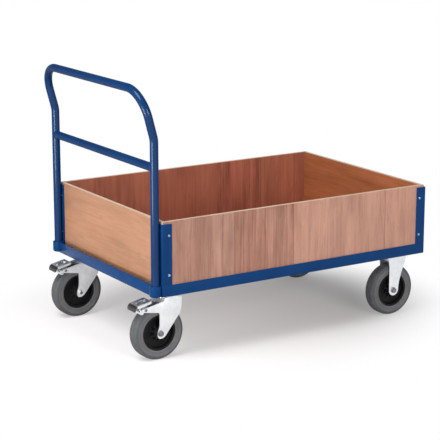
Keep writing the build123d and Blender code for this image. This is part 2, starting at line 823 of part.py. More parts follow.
    build_axle(name, x, y, outward)
    build_wheel(name, x, y)


for side, y_sign in (("right", -1), ("left", 1)):
    build_fixed_castor(f"front_{side}", y_sign * castor_y, y_sign)
    build_swivel_castor(f"rear_{side}", y_sign * castor_y, y_sign)
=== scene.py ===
"""Looks of the panel trolley: finishes, moulded wheels, pressed castor parts, screws and welds.

Metres, in the trolley's own frame: +X away from the push bar, +Y left, +Z up, the floor at z = 0.
"""
import json
from math import cos, hypot, pi, radians, sin, sqrt, tan

import bmesh
import bpy
from mathutils import Matrix, Vector

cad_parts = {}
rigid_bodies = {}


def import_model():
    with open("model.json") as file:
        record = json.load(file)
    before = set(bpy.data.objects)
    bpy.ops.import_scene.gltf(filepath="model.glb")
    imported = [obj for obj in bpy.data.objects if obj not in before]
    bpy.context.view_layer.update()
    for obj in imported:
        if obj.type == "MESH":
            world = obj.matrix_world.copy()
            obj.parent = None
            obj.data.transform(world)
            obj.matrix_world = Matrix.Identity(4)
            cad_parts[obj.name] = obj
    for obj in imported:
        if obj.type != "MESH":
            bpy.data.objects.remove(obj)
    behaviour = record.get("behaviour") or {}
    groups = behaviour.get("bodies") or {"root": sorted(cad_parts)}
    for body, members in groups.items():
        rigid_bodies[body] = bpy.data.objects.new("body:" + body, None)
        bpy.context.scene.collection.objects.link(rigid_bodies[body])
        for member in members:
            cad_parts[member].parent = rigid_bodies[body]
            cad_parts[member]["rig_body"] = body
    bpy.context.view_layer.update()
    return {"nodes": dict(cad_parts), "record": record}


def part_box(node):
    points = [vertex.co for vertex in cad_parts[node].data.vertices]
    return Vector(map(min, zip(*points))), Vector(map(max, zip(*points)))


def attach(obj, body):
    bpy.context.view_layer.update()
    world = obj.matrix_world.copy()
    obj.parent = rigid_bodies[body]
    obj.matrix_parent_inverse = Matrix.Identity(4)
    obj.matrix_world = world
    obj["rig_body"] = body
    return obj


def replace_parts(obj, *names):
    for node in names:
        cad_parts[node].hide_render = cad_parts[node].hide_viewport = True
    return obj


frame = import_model()
nodes = frame["nodes"]


# finishes

def new_finish(name):
    """A material with its shader and the point on the piece, in metres."""
    material = bpy.data.materials.new(name)
    material.use_nodes = True
    tree = material.node_tree
    shader = tree.nodes["Principled BSDF"]
    place = tree.nodes.new("ShaderNodeTexCoord").outputs["Object"]
    return material, tree, shader, place


def stretched(tree, place, scale, shift=(0.0, 0.0, 0.0)):
    """The place with each axis scaled by itself, so that a pattern runs along one of them."""
    mapping = tree.nodes.new("ShaderNodeMapping")
    mapping.inputs["Scale"].default_value = scale
    mapping.inputs["Location"].default_value = shift
    tree.links.new(place, mapping.inputs["Vector"])
    return mapping.outputs["Vector"]


def noise(tree, place, scale, detail=2.0, roughness=0.5, distortion=0.0):
    """A noise value from 0 to 1."""
    node = tree.nodes.new("ShaderNodeTexNoise")
    node.inputs["Scale"].default_value = scale
    node.inputs["Detail"].default_value = detail
    node.inputs["Roughness"].default_value = roughness
    node.inputs["Distortion"].default_value = distortion
    tree.links.new(place, node.inputs["Vector"])
    return node.outputs["Fac"]


def ramp(tree, value, stops, between="LINEAR"):
    """A colour ramp over a value, with (position, colour) stops."""
    node = tree.nodes.new("ShaderNodeValToRGB")
    node.color_ramp.interpolation = between
    elements = node.color_ramp.elements
    while len(elements) < len(stops):
        elements.new(0.5)
    for element, (position, colour) in zip(elements, stops):
        element.position = position
        element.color = (*colour, 1.0)
    tree.links.new(value, node.inputs["Fac"])
    return node.outputs["Color"]


def remap(tree, value, low, high, new_low, new_high, between="LINEAR"):
    """A value moved from one range to another and held there."""
    node = tree.nodes.new("ShaderNodeMapRange")
    node.interpolation_type = between
    for name, number in (("From Min", low), ("From Max", high), ("To Min", new_low), ("To Max", new_high)):
        node.inputs[name].default_value = number
    tree.links.new(value, node.inputs["Value"])
    return node.outputs["Result"]


def mixed(tree, share, first, second, blend="MIX"):
    """Two colours mixed by a share that may be a link or a number."""
    node = tree.nodes.new("ShaderNodeMix")
    node.data_type = "RGBA"
    node.blend_type = blend
    for socket, value in ((node.inputs[0], share), (node.inputs[6], first), (node.inputs[7], second)):
        if isinstance(value, bpy.types.NodeSocket):
            tree.links.new(value, socket)
        elif isinstance(value, tuple):
            socket.default_value = (*value, 1.0)
        else:
            socket.default_value = value
    return node.outputs[2]


def math(tree, operation, first, second=None, third=None):
    """One sum on values that may be links or numbers."""
    node = tree.nodes.new("ShaderNodeMath")
    node.operation = operation
    for socket, value in zip(node.inputs, (first, second, third)):
        if isinstance(value, bpy.types.NodeSocket):
            tree.links.new(value, socket)
        elif value is not None:
            socket.default_value = value
    return node.outputs["Value"]


def bumped(tree, shader, height, strength, distance):
    """Raises the surface by a height value, over a distance in metres."""
    node = tree.nodes.new("ShaderNodeBump")
    node.inputs["Strength"].default_value = strength
    node.inputs["Distance"].default_value = distance
    tree.links.new(height, node.inputs["Height"])
    tree.links.new(node.outputs["Normal"], shader.inputs["Normal"])


noise_span = (0.3, 0.7)
coat_turn = (0.16, 0.4)


def clouded(tree, shader, cloud, dark, light, light_from=0.7):
    """Lets the colour drift between two tones."""
    colour = ramp(tree, cloud, ((noise_span[0], dark), (light_from, light)))
    tree.links.new(colour, shader.inputs["Base Color"])


def roughened(tree, shader, patches, smooth, rough):
    """Lets the roughness drift between two values."""
    tree.links.new(remap(tree, patches, *noise_span, smooth, rough), shader.inputs["Roughness"])


def blue_powder_coat(name="blue_powder_coat", dark=(0.002, 0.037, 0.138), light=(0.003, 0.045, 0.165),
                     coat=0.36, edge_coat=None, coat_ior=1.25):
    """Blue paint under a clear skin, whose weight may change from face on to edge on."""
    material, tree, shader, place = new_finish(name)
    clouded(tree, shader, noise(tree, place, scale=9.0, detail=3.0), dark, light)
    roughened(tree, shader, noise(tree, place, scale=60.0, detail=3.0), 0.34, 0.44)
    bumped(tree, shader, noise(tree, place, scale=700.0, detail=2.0), strength=0.1, distance=0.0004)
    shader.inputs["Specular IOR Level"].default_value = 0.04
    shader.inputs["Coat Weight"].default_value = coat
    if edge_coat is not None:
        facing = tree.nodes.new("ShaderNodeLayerWeight").outputs["Facing"]
        tree.links.new(remap(tree, facing, *coat_turn, coat, edge_coat), shader.inputs["Coat Weight"])
    shader.inputs["Coat IOR"].default_value = coat_ior
    shader.inputs["Coat Roughness"].default_value = 0.12
    return material


def zinc_plate(name="zinc_plate", bright=(0.86, 0.87, 0.88), dull=(0.72, 0.74, 0.77), smooth=0.28, rough=0.44):
    material, tree, shader, place = new_finish(name)
    clouded(tree, shader, noise(tree, place, scale=28.0, detail=4.0, roughness=0.6), dull, bright, light_from=0.68)
    fine = noise(tree, place, scale=240.0, detail=3.0)
    roughened(tree, shader, fine, smooth, rough)
    bumped(tree, shader, fine, strength=0.08, distance=0.0003)
    shader.inputs["Metallic"].default_value = 1.0
    return material


def grey_rubber(name="grey_rubber", dark=(0.068, 0.071, 0.076), light=(0.1, 0.104, 0.11)):
    material, tree, shader, place = new_finish(name)
    clouded(tree, shader, noise(tree, place, scale=22.0, detail=5.0, roughness=0.6), dark, light)
    roughened(tree, shader, noise(tree, place, scale=130.0, detail=3.0), 0.55, 0.78)
    bumped(tree, shader, noise(tree, place, scale=900.0, detail=3.0), strength=0.2, distance=0.0004)
    shader.inputs["Specular IOR Level"].default_value = 0.35
    return material


def black_plastic():
    material, tree, shader, place = new_finish("black_plastic")
    clouded(tree, shader, noise(tree, place, scale=30.0, detail=3.0), (0.004, 0.004, 0.005), (0.01, 0.01, 0.011))
    roughened(tree, shader, noise(tree, place, scale=90.0, detail=3.0), 0.45, 0.6)
    bumped(tree, shader, noise(tree, place, scale=1100.0, detail=2.0), strength=0.15, distance=0.0003)
    shader.inputs["Specular IOR Level"].default_value = 0.15
    return material


ply_t = 0.0014
leaf_range = (-0.6, 0.65)
leaf_joint = 0.0012
plain = (1.0, 1.0, 1.0)
# for each pattern in the wood: its scale across and along the grain, then detail, roughness and distortion
wood_patterns = {
    "sweep": (9.0, 0.8, 4.0, 0.55, 0.8),
    "figure": (26.0, 2.6, 3.0, 0.55, 1.4),
    "streak": (170.0, 2.4, 5.0, 0.6, 0.3),
    "blotch": (7.0, 4.0, 3.0, 0.6, 0.0),
    "pore": (700.0, 24.0, 2.0, 0.5, 0.0),
    "fleck": (80.0, 11.0, 2.0, 0.5, 0.6),
}
wood_tints = {
    "sweep": ((0.3, (0.66, 0.6, 0.57)), (0.5, plain), (0.7, (1.22, 1.24, 1.25))),
    "figure": ((0.32, (0.74, 0.67, 0.63)), (0.5, plain), (0.68, (1.13, 1.16, 1.18))),
    "streak": ((0.32, (0.7, 0.63, 0.58)), (0.52, plain), (0.72, (1.12, 1.12, 1.12))),
    "blotch": ((0.3, (0.8, 0.82, 0.84)), (0.5, plain), (0.7, (1.14, 1.11, 1.09))),
}
fleck_tone = (0.13, 0.055, 0.035)
joint_tone = (0.12, 0.05, 0.03)
pore_tone = (0.14, 0.06, 0.035)
ply_tones = ((0.38, (0.6, 0.44, 0.3)), (0.62, (0.82, 0.7, 0.55)))
edge_fleck_tone = (0.45, 0.3, 0.19)


def plywood(name, grain, across, thick, inward, outer, inner, figures_of, leaves=((0.0, plain, 1.0),)):
    """Veneered board: grain along one axis, veneer leaves side by side across it, plies stacked through it.

    The outer and inner face have their own tone and strength of figure, and the inner one looks along the thickness
    as inward says; the inner tone is darker and redder as painted shade inside the box. A leaf is the part of the
    range where it starts, its tint and its strength of figure. The cut edges show the plies.
    """
    material, tree, shader, place = new_finish(name)
    pattern = {}
    for band, (over, along, detail, roughness, distortion) in wood_patterns.items():
        scale = [over] * 3
        scale["XYZ".index(grain)] = along
        pattern[band] = noise(tree, stretched(tree, place, scale), 1.0, detail, roughness, distortion)
    split = tree.nodes.new("ShaderNodeSeparateXYZ")
    tree.links.new(place, split.inputs["Vector"])
    normal = tree.nodes.new("ShaderNodeSeparateXYZ")
    tree.links.new(tree.nodes.new("ShaderNodeTexCoord").outputs["Normal"], normal.inputs["Vector"])
    facing_in = math(tree, "GREATER_THAN", math(tree, "MULTIPLY", normal.outputs[thick], inward), 0.5)
    tone = mixed(tree, facing_in, outer, inner)
    leaf_place = remap(tree, split.outputs[across], *leaf_range, 0.0, 1.0)
    leaf_tone = ramp(tree, leaf_place, [(start, tint) for start, tint, strength in leaves], "CONSTANT")
    leaf_figure = ramp(tree, leaf_place, [(start, (strength,) * 3) for start, tint, strength in leaves], "CONSTANT")
    share = math(tree, "MULTIPLY", remap(tree, facing_in, 0.0, 1.0, *figures_of), leaf_figure)
    face = mixed(tree, 1.0, tone, leaf_tone, "MULTIPLY")
    for band, tints in wood_tints.items():
        face = mixed(tree, share, face, ramp(tree, pattern[band], tints), "MULTIPLY")
    flecked = math(tree, "MULTIPLY", remap(tree, pattern["fleck"], 0.6, 0.76, 0.0, 0.6), share)
    face = mixed(tree, flecked, face, fleck_tone)
    for start, _, _ in leaves[1:]:
        joint = math(tree, "COMPARE", leaf_place, start, leaf_joint)
        face = mixed(tree, math(tree, "MULTIPLY", joint, 0.5), face, joint_tone)
    face = mixed(tree, remap(tree, pattern["pore"], 0.62, 0.76, 0.0, 0.5), face, pore_tone)
    ply = math(tree, "DIVIDE", math(tree, "PINGPONG", split.outputs[thick], ply_t), ply_t)
    edge_fleck = remap(tree, noise(tree, place, scale=260.0, detail=3.0), 0.4, 0.7, 0.0, 0.35)
    layers = mixed(tree, edge_fleck, ramp(tree, ply, ply_tones), edge_fleck_tone)
    on_edge = math(tree, "LESS_THAN", math(tree, "ABSOLUTE", normal.outputs[thick]), 0.5)
    tree.links.new(mixed(tree, on_edge, face, layers), shader.inputs["Base Color"])
    roughened(tree, shader, pattern["streak"], 0.42, 0.6)
    bumped(tree, shader, pattern["pore"], strength=0.12, distance=0.0004)
    shader.inputs["Specular IOR Level"].default_value = 0.35
    return material


blue = blue_powder_coat()
# a darker copy of the blue paint for the push bar, its cross tube and welds: painted shade on the round tubes
shaded_tube_blue = blue_powder_coat("shaded_blue_tube_coat", (0.002, 0.027, 0.1), (0.002, 0.033, 0.12), 0.7, 0.06, 1.35)
zinc = zinc_plate()
screw_zinc = zinc_plate("screw_zinc", (0.4, 0.47, 0.58), (0.28, 0.35, 0.46), 0.35, 0.5)
bolt_steel = zinc_plate("bolt_steel", (0.26, 0.26, 0.27), (0.15, 0.15, 0.16), 0.3, 0.5)
# dark steel for the folded lip of the brake pedal: painted shade on the lip that turns down away from the light
lip_shade_steel = zinc_plate("lip_shade_steel", (0.12, 0.12, 0.125), (0.07, 0.07, 0.075), 0.35, 0.55)
bearing_steel = zinc_plate("bearing_steel", (0.6, 0.6, 0.62), (0.45, 0.45, 0.47), 0.15, 0.3)
rubber = grey_rubber()
# lighter rubber for the ring by the rim: a painted highlight on the tyre's bead ring
bead_highlight_rubber = grey_rubber("bead_highlight_rubber", (0.115, 0.117, 0.121), (0.155, 0.157, 0.162))
plastic = black_plastic()
side_tone = (0.47, 0.245, 0.178)
end_tone = (0.43, 0.214, 0.12)
# the inner faces' darker, redder tones are painted shade and painted bounce light inside the box
side_inner_shade_tone = (0.37, 0.115, 0.068)
end_inner_shade_tone = (0.44, 0.147, 0.058)
side_figure = (0.85, 0.9)
end_figure = (0.4, 0.45)
right_leaves = (
    (0.0, (0.93, 0.95, 0.95), 0.7), (0.284, (0.86, 0.81, 0.8), 1.0),
    (0.488, (1.06, 1.08, 1.08), 0.55), (0.824, (1.1, 1.12, 1.12), 0.5),
)
left_leaves = ((0.0, (1.0, 1.0, 0.98), 0.7), (0.608, (0.94, 0.92, 0.92), 1.0), (0.784, (1.06, 1.12, 1.08), 0.7))
right_veneer = plywood("right_wall_veneer", "Z", "X", "Y", 1.0, side_tone, side_inner_shade_tone, side_figure, right_leaves)
left_veneer = plywood("left_wall_veneer", "Z", "X", "Y", -1.0, side_tone, side_inner_shade_tone, side_figure, left_leaves)
rear_veneer = plywood("rear_wall_veneer", "Y", "Z", "X", 1.0, end_tone, end_inner_shade_tone, end_figure)
front_veneer = plywood("front_wall_veneer", "Y", "Z", "X", -1.0, end_tone, end_inner_shade_tone, end_figure)
# the deck's top takes the inner side tone, painted shade inside the box
deck_veneer = plywood("deck_veneer", "X", "Y", "Z", 1.0, end_tone, side_inner_shade_tone, end_figure)

finish_of_slot = {
    "blue_powder_coat": blue,
    "zinc_plate": zinc,
    "grey_rubber": rubber,
    "black_plastic": plastic,
    "bearing_steel": bearing_steel,
}
finish_of_node = {
    # the push bar and cross tube take the darker copy of the blue paint, painted shade
    "push_bar": shaded_tube_blue,
    "push_bar_cross_tube": shaded_tube_blue,
    "panel_right": right_veneer,
    "panel_left": left_veneer,
    "panel_rear": rear_veneer,
    "panel_front": front_veneer,
    "deck_board": deck_veneer,
}
for subpart in frame["record"]["subparts"]:
    node = subpart["node"]
    finish = finish_of_node.get(node) or finish_of_slot[subpart["material_slot"]]
    nodes[node].data.materials.clear()
    nodes[node].data.materials.append(finish)


# mesh tools; parts are shaped in millimetres round their own origin and scaled as they are placed

mm = 0.001
merge_gap = 0.001
rounding_steps = 5
small_rounding = 1.2
small_rounding_steps = 2
sides = (("right", -1), ("left", 1))
standing = Matrix(((1, 0, 0, 0), (0, 0, -1, 0), (0, 1, 0, 0), (0, 0, 0, 1)))
upright = Matrix.Rotation(pi / 2, 4, "X")


def outline(corners):
    """The edges of a flat outline in the XY plane, from (x, y, rounding) corners."""
    part = bmesh.new()
    spots = [part.verts.new((x, y, 0.0)) for x, y, _ in corners]
    part.faces.new(spots)
    for spot, (_, _, rounding) in zip(spots, corners):
        if rounding:
            steps = small_rounding_steps if rounding < small_rounding else rounding_steps
            bmesh.ops.bevel(part, geom=[spot], offset=rounding, offset_type="OFFSET", segments=steps, profile=0.5,
                            affect="VERTICES", clamp_overlap=True, material=-1)
    bmesh.ops.delete(part, geom=part.faces[:], context="FACES_ONLY")
    return part


def turned(corners, steps=48):
    """A part turned about the Y axis from (radius, along, rounding) corners."""
    part = outline(corners)
    on_axis = [edge for edge in part.edges if all(spot.co.x < merge_gap for spot in edge.verts)]
    bmesh.ops.delete(part, geom=on_axis, context="EDGES")
    bmesh.ops.spin(part, geom=part.verts[:] + part.edges[:], cent=(0, 0, 0), axis=(0, 1, 0), dvec=(0, 0, 0),
                   angle=2 * pi, steps=steps, use_merge=True, use_duplicate=False)
    bmesh.ops.remove_doubles(part, verts=part.verts, dist=merge_gap)
    bmesh.ops.recalc_face_normals(part, faces=part.faces)
    return part


def plate(corners, thick, holes=(), hole_steps=24):
    """A flat part from z = 0 up, with (x, y, radius, half slot length) holes."""
    part = outline(corners)
    for x, y, radius, half_slot in holes:
        turn = Matrix.Rotation(pi / hole_steps, 4, "Z")
        ring = bmesh.ops.create_circle(part, cap_ends=False, segments=hole_steps, radius=radius,
                                       matrix=Matrix.Translation((x, y, 0)) @ turn)["verts"]
        for way in (-1, 1):
            half = [spot for spot in ring if (spot.co.x - x) * way > 0]
            bmesh.ops.translate(part, verts=half, vec=(way * half_slot, 0, 0))
    bmesh.ops.triangle_fill(part, use_beauty=True, use_dissolve=False, edges=part.edges[:])
    top = bmesh.ops.extrude_face_region(part, geom=part.faces[:])["geom"]
    raised = [item for item in top if isinstance(item, bmesh.types.BMVert)]
    bmesh.ops.translate(part, verts=raised, vec=(0, 0, thick))
    bmesh.ops.recalc_face_normals(part, faces=part.faces)
    return part


def folded(part, way, line, angle, radius, thick, steps=5):
    """Folds a plate down beyond a line across it, round a bend of that radius at the middle of the sheet."""
    way = Vector(way)
    turn = radians(angle) / steps
    cuts = [line + radius * turn * (number + 0.5) for number in range(steps)]
    for cut in cuts:
        bmesh.ops.bisect_plane(part, geom=part.verts[:] + part.edges[:] + part.faces[:], dist=merge_gap,
                               plane_co=way * cut, plane_no=way)
    beyond = [[spot for spot in part.verts if spot.co.dot(way) > cut + 10 * merge_gap] for cut in cuts]
    hinge = Vector((0, 0, 1)).cross(way)
    for cut, spots in reversed(list(zip(cuts, beyond))):
        bmesh.ops.rotate(part, cent=way * cut + Vector((0, 0, thick / 2)), matrix=Matrix.Rotation(turn, 3, hinge),
                         verts=spots)


def eased(part, width, angle=50.0, steps=2):
    """Rounds the sharp edges of a part."""
    sharp = [edge for edge in part.edges if len(edge.link_faces) == 2 and edge.calc_face_angle(0.0) > radians(angle)]
    bmesh.ops.bevel(part, geom=sharp, offset=width, offset_type="OFFSET", segments=steps, profile=0.5,
                    affect="EDGES", clamp_overlap=True, material=-1)
    return part


def hexagon(flats, height, ease=0.7):
    """A hexagon block that stands on the XZ plane along +Y."""
    part = bmesh.new()
    across_corners = flats / cos(pi / 6)
    stand = Matrix.Rotation(-pi / 2, 4, "X") @ Matrix.Translation((0, 0, height / 2))
    bmesh.ops.create_cone(part, cap_ends=True, cap_tris=False, segments=6, radius1=across_corners / 2,
                          radius2=across_corners / 2, depth=height, matrix=stand)
    return eased(part, ease)


def at(x, y, z):
    """The place of a part, from millimetres to its spot in metres."""
    return Matrix.Translation((x, y, z)) @ Matrix.Scale(mm, 4)


def joined(piece, part, place):
    """Adds a part to a piece at its place."""
    bmesh.ops.transform(part, matrix=place, verts=part.verts)
    data = bpy.data.meshes.new("part")
    part.to_mesh(data)
    part.free()
    piece.from_mesh(data)
    bpy.data.meshes.remove(data)


bead_waist = 0.78


def weld_beads(paths, bead_r):
    """A part of weld beads along (points, closed) paths in metres, with a slight swell at every second point."""
    curve = bpy.data.curves.new("weld_beads", "CURVE")
    curve.dimensions = "3D"
    curve.bevel_depth = bead_r
    curve.bevel_resolution = 2
    curve.use_fill_caps = True
    for points, closed in paths:
        spline = curve.splines.new("POLY")
        spline.points.add(len(points) - 1)
        for number, (spot, point) in enumerate(zip(spline.points, points)):
            spot.co = (*point, 1.0)
            spot.radius = 1.0 if number % 2 else bead_waist
        spline.use_cyclic_u = closed
    holder = bpy.data.objects.new("weld_beads", curve)
    data = bpy.data.meshes.new_from_object(holder)
    part = bmesh.new()
    part.from_mesh(data)
    bmesh.ops.remove_doubles(part, verts=part.verts, dist=merge_gap * mm)
    bpy.data.objects.remove(holder)
    bpy.data.curves.remove(curve)
    bpy.data.meshes.remove(data)
    return part


def straight(start, end, pitch=0.004):
    """A weld path along a straight line, with a point at every puddle."""
    start, end = Vector(start), Vector(end)
    count = max(2, round((end - start).length / pitch))
    return [start.lerp(end, number / count) for number in range(count + 1)], False


def in_order(items, place):
    """Sorts points, edges or faces by place, because turning and drawing leave them in any order."""
    rank = {item: number for number, item in enumerate(sorted(items, key=place))}
    items.sort(key=rank.get)
    items.index_update()


def placed(name, piece, finishes, body):
    """Makes a piece a smooth object that rides on a body."""
    for face in piece.faces:
        face.smooth = True
    in_order(piece.verts, lambda spot: tuple(spot.co))
    for items in (piece.edges, piece.faces):
        in_order(items, lambda item: sorted(spot.index for spot in item.verts))
    data = bpy.data.meshes.new(name)
    piece.to_mesh(data)
    piece.free()
    for finish in finishes:
        data.materials.append(finish)
    thing = bpy.data.objects.new(name, data)
    bpy.context.scene.collection.objects.link(thing)
    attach(thing, body)
    return thing


def finished(name, piece, node, finishes, crease=32.0):
    """Makes a piece an object with sharp creases that rides with its node and stands for it."""
    for edge in piece.edges:
        edge.smooth = len(edge.link_faces) == 2 and edge.calc_face_angle(0.0) < radians(crease)
    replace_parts(placed(name, piece, finishes, nodes[node]["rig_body"]), node)


def middle(node):
    """The middle of a node's box."""
    low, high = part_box(node)
    return (Vector(low) + Vector(high)) / 2


# wheels

tyre_half = (
    (66.0, 21.4, 1.4), (74.0, 22.8, 1.4), (75.2, 21.6, 0.5), (77.0, 21.6, 0.5), (78.2, 22.8, 0.9),
    (90.0, 23.0, 6.0), (100.0, 19.6, 8.0), (100.0, 9.6, 0.5), (98.4, 9.0, 0.4), (98.4, 7.4, 0.4), (100.0, 6.8, 0.5),
)
rim_half = (
    (10.0, 27.2, 0.8), (21.0, 27.2, 1.6), (24.0, 4.5, 3.0), (56.0, 4.5, 3.0), (58.5, 20.0, 1.1), (66.0, 20.0, 1.2),
)
rib = (
    (21.0, 3.5, 0.0), (60.0, 3.5, 0.0), (60.0, 15.0, 0.0), (46.0, 14.0, 10.0), (30.0, 19.0, 10.0), (21.0, 22.0, 0.0),
)
rib_t = 4.0
rib_ease = 0.8
rib_count = 10
bead_ring_r = 86.0
tyre_steps = 80
rim_steps = 64


def mirrored(half):
    """A whole section from the half on the +Y side of the wheel."""
    return half + tuple((radius, -along, rounding) for radius, along, rounding in reversed(half))


def build_wheel(name):
    centre = middle(f"tyre_{name}")
    spot = at(*centre)
    tyre = bmesh.new()
    ring = turned(mirrored(tyre_half), tyre_steps)
    # faces inside bead_ring_r take the lighter rubber, a painted highlight on the bead ring
    for face in ring.faces:
        middle_of_face = face.calc_center_median()
        face.material_index = int(hypot(middle_of_face.x, middle_of_face.z) < bead_ring_r)
    joined(tyre, ring, spot)
    finished(f"moulded_tyre_{name}", tyre, f"tyre_{name}", (rubber, bead_highlight_rubber))
    rim = bmesh.new()
    joined(rim, turned(mirrored(rim_half), rim_steps), spot)
    radial = Matrix(((0, 0, -1, 0), (0, 1, 0, 0), (1, 0, 0, 0), (0, 0, 0, 1)))
    for number in range(rib_count):
        around = Matrix.Rotation(2 * pi * number / rib_count, 4, "Y")
        for flip in (0.0, pi):
            stand = around @ Matrix.Rotation(flip, 4, "Z") @ radial @ Matrix.Translation((0, 0, -rib_t / 2))
            joined(rim, eased(plate(rib, rib_t), rib_ease), spot @ stand)
    finished(f"ribbed_rim_{name}", rim, f"rim_{name}", (plastic,))


# axle bolts, nuts and the rivets of the pedals

cheek_out = 31.0
head_flats = 18.0
head_h = 7.5
flange_r = 11.0
flange_t = 1.6
nut_h = 10.0
nut_hex_h = 7.4
nut_collar_from = nut_hex_h - 1.0
shank_r = 6.0
shank_proud = 3.0
shank_tip = 1.2
shank_end = -(cheek_out + nut_h + shank_proud)
shank = (
    (0.0, cheek_out + 5.0, 0.0), (flange_r - 3.5, cheek_out + flange_t + 0.4, 0.0), (flange_r, cheek_out + 1.0, 0.4),
    (flange_r, cheek_out, 0.0), (shank_r, cheek_out, 0.0), (shank_r, shank_end + shank_tip, 0.0),
    (shank_r - shank_tip, shank_end, 0.0), (0.0, shank_end, 0.0),
)
collar = (
    (shank_r, nut_collar_from, 0.0), (8.4, nut_collar_from, 0.0), (8.2, nut_h - 0.8, 1.0), (7.0, nut_h, 0.5),
    (shank_r, nut_h, 0.0),
)
axle_steps = 40


def build_axle(name, outward):
    centre = middle(f"tyre_{name}")
    spot = at(*centre) @ Matrix.Rotation(0.0 if outward > 0 else pi, 4, "Z")
    bolt = bmesh.new()
    joined(bolt, turned(shank, axle_steps), spot)
    joined(bolt, hexagon(head_flats, head_h - flange_t), spot @ Matrix.Translation((0, cheek_out + flange_t, 0)))
    finished(f"axle_bolt_{name}", bolt, f"axle_{name}", (bolt_steel,))
    nut = bmesh.new()
    foot = Matrix.Translation((0, -cheek_out, 0)) @ Matrix.Rotation(pi, 4, "Z")
    joined(nut, hexagon(head_flats, nut_hex_h), spot @ foot)
    joined(nut, turned(collar, axle_steps), spot @ foot)
    finished(f"lock_nut_{name}", nut, f"axle_nut_{name}", (zinc,))


rivet = (
    (0.0, -34.6, 0.0), (4.2, -34.0, 1.2), (5.5, -32.4, 0.6), (5.5, -31.2, 0.0), (3.0, -31.2, 0.0),
    (3.0, 31.2, 0.0), (5.5, 31.2, 0.0), (5.5, 32.4, 0.6), (4.2, 34.0, 1.2), (0.0, 34.6, 0.0),
)
pin_steps = 32


# swivel castors: race plate, fork folded from one sheet, slotted pedal

plate_t = 4.0
plate_ease = 0.8
plate_z = 0.246
king_hole_r = 7.6
king_hole = (0.0, 0.0, king_hole_r, 0.0)
race_r = 44.0
race_steps = 64
castor_plate = ((-75.0, -55.0, 12.0), (75.0, -55.0, 12.0), (75.0, 55.0, 12.0), (-75.0, 55.0, 12.0))
bolt_holes = tuple((x, y, 4.5, 0.0) for x in (-58.0, 58.0) for y in (-39.0, 39.0))
race = (
    (king_hole_r, 0.2, 0.0), (race_r, 0.2, 0.0), (race_r, -3.0, 1.5), (42.0, -9.0, 2.0), (king_hole_r, -9.0, 0.6),
)
crown_head = ((king_hole_r, 0.0, 0.0), (race_r, 0.0, 0.8), (43.0, 4.0, 1.4), (king_hole_r, 4.0, 0.6))
sheet_t = 3.0
sheet_ease = 0.6
axle_hole_r = shank_r + 0.1
pin_hole_r = 3.0
crown_top = 0.230
crown_bend_r = 4.5
crown_fold = cheek_out - sheet_t / 2 - crown_bend_r
crown_bend_length = crown_bend_r * pi / 2
axle_below_crown = 130.0
trail = 61.0
pin_back = 58.957
pin_up = 94.946


def on_cheek(up):
    """Where a height above the axle lies on the flat fork sheet, out from the middle."""
    return crown_fold + crown_bend_length + axle_below_crown - sheet_t / 2 - crown_bend_r - up


fork_half = (
    (-55.0, 24.0, 8.0), (-38.0, 24.0, 2.0), (-47.0, on_cheek(116.9), 4.0), (-134.0, on_cheek(99.0), 3.0),
    (-137.0, on_cheek(93.0), 3.0), (-133.0, on_cheek(88.0), 3.0), (-65.0, on_cheek(77.0), 5.0),
    (-65.0, on_cheek(26.0), 8.0), (-73.0, on_cheek(6.0), 8.0), (-73.0, on_cheek(-20.0), 12.4),
    (-47.5, on_cheek(-19.5), 12.5), (21.0, on_cheek(68.0), 10.0), (26.0, on_cheek(96.0), 10.0), (27.0, 24.0, 0.0),
)


def build_swivel(side):
    name = f"rear_{side}"
    king = middle(f"king_pin_{name}")
    over = bmesh.new()
    joined(over, eased(plate(castor_plate, plate_t, (*bolt_holes, king_hole)), plate_ease), at(king.x, king.y, plate_z))
    joined(over, turned(race, race_steps), at(king.x, king.y, plate_z) @ upright)
    finished(f"race_plate_{name}", over, f"swivel_plate_{name}", (zinc,))

    fork = bmesh.new()
    corners = fork_half + tuple((x, -y, rounding) for x, y, rounding in reversed(fork_half))
    holes = [king_hole]
    for way in (-1, 1):
        holes.append((-trail, way * on_cheek(0.0), axle_hole_r, 0.0))
        holes.append((-trail - pin_back, way * on_cheek(pin_up), pin_hole_r, 0.0))
    sheet = plate(corners, sheet_t, holes)
    for way in (-1, 1):
        folded(sheet, (0, way, 0), crown_fold, 90.0, crown_bend_r, sheet_t)
    joined(fork, eased(sheet, sheet_ease), at(king.x, king.y, crown_top - sheet_t * mm))
    joined(fork, turned(crown_head, race_steps), at(king.x, king.y, crown_top) @ upright)
    finished(f"pressed_fork_{name}", fork, f"swivel_fork_{name}", (zinc,))

    pin = middle(f"pedal_pin_{name}")
    riveted = bmesh.new()
    joined(riveted, turned(rivet, pin_steps), at(*pin))
    finished(f"pedal_rivet_{name}", riveted, f"pedal_pin_{name}", (bolt_steel,))
    build_pedal(name, pin)


tread_front = (24.0, 28.5)
tread_slope = 12.095
tread_half_w = 29.0
tread_bends = ((55.79, 32.905), (65.68, 31.504))
tread_length = 79.87
tread_bend_r = 5.0
tread_ease = 0.7
tread_slot = (29.7, 0.0, 11.0, 10.0)
lip_from = 57.5
strut = (
    (16.0, 26.7, 2.0), (-6.0, 22.0, 4.0), (-25.0, -9.0, 8.0), (-14.0, -16.0, 6.0), (5.0, -8.0, 6.0), (8.0, 0.0, 5.0),
)
strut_hole = (0.0, 0.0, 3.2, 0.0)
strut_faces = (18.0, -15.0)
skirt = ((24.0, 28.5, 1.0), (-32.0, 16.5, 1.0), (-32.0, 8.5, 4.0), (24.0, 20.5, 4.0))
skirt_faces = (29.0, -26.0)
shoe = ((0.0, -27.0, 0.0), (8.5, -27.0, 1.2), (8.5, 27.0, 1.2), (0.0, 27.0, 0.0))
shoe_spot = (-14.0, -8.0)


